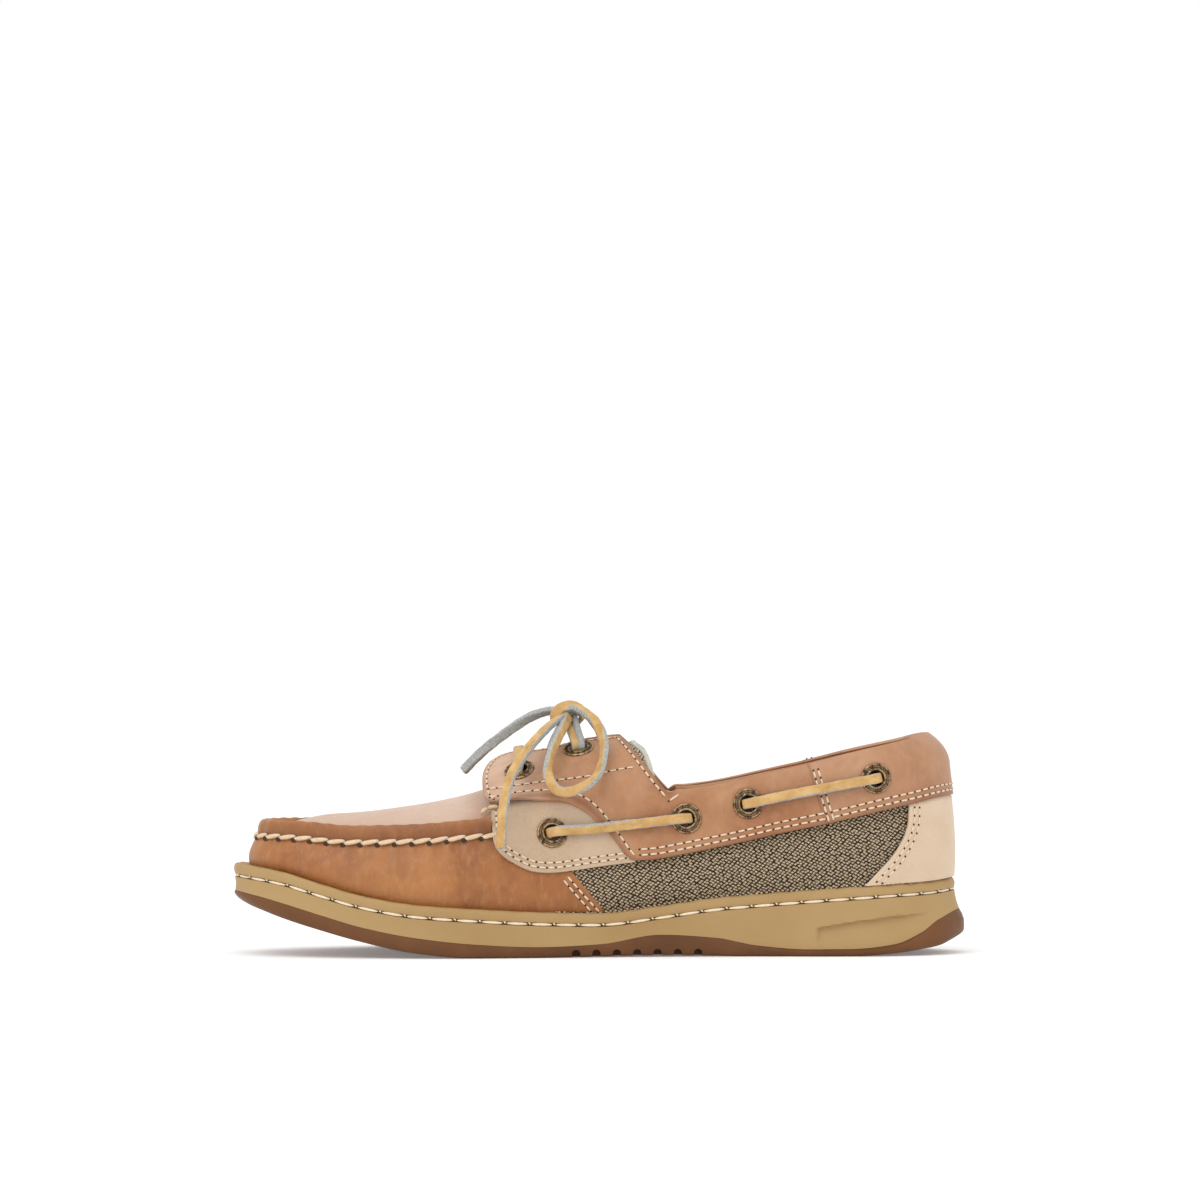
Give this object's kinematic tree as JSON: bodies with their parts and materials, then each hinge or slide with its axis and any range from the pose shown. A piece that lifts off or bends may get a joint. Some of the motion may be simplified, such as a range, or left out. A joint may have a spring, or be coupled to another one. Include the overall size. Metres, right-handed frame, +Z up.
{
  "type": "boat shoe",
  "caption": "Low moccasin boat shoe with a raised toe seam, woven side panels, side lacing through metal eyelets, a tied rawhide bow and a stitched rubber sole.",
  "frame": {"origin": "on the floor, in the middle of the heel's flat spot", "axes": "+Z up, +X from toe to heel along the shoe, -Y toward the inner side of the foot"},
  "size_m": [0.265, 0.0995, 0.0901],
  "materials": {
    "outsole_rubber": "matt gum rubber",
    "midsole_rubber": "matt moulded rubber with a satin edge",
    "brown_leather": "waxed full-grain leather with soft shine",
    "pale_nubuck": "matt nubuck",
    "woven_mesh": "tan and black open weave",
    "lining": "smooth unlacquered lining leather",
    "antique_brass": "dark antique brass",
    "rawhide": "waxed grain side, suede flesh side"
  },
  "bodies": {
    "root": {"outsole": "outsole_rubber", "midsole": "midsole_rubber", "insole": "lining", "upper": "brown_leather", "tongue": "woven_mesh", "collar_back": "brown_leather", "counter": "pale_nubuck", "quarter_medial": "brown_leather", "eyestay_medial": "pale_nubuck", "lace_medial_front": "rawhide", "lace_medial_rear": "rawhide", "quarter_lateral": "brown_leather", "eyestay_lateral": "pale_nubuck", "lace_lateral_front": "rawhide", "lace_lateral_rear": "rawhide", "eyelet_medial_flap_front": "antique_brass", "eyelet_medial_flap_rear": "antique_brass", "eyelet_medial_stay": "antique_brass", "eyelet_medial_collar_front": "antique_brass", "eyelet_medial_collar_mid": "antique_brass", "eyelet_medial_collar_rear": "antique_brass", "eyelet_lateral_flap_front": "antique_brass", "eyelet_lateral_flap_rear": "antique_brass", "eyelet_lateral_stay": "antique_brass", "eyelet_lateral_collar_front": "antique_brass", "eyelet_lateral_collar_mid": "antique_brass", "eyelet_lateral_collar_rear": "antique_brass", "lace_throat": "rawhide", "lace_bow": "rawhide"}
  },
  "joints": []
}
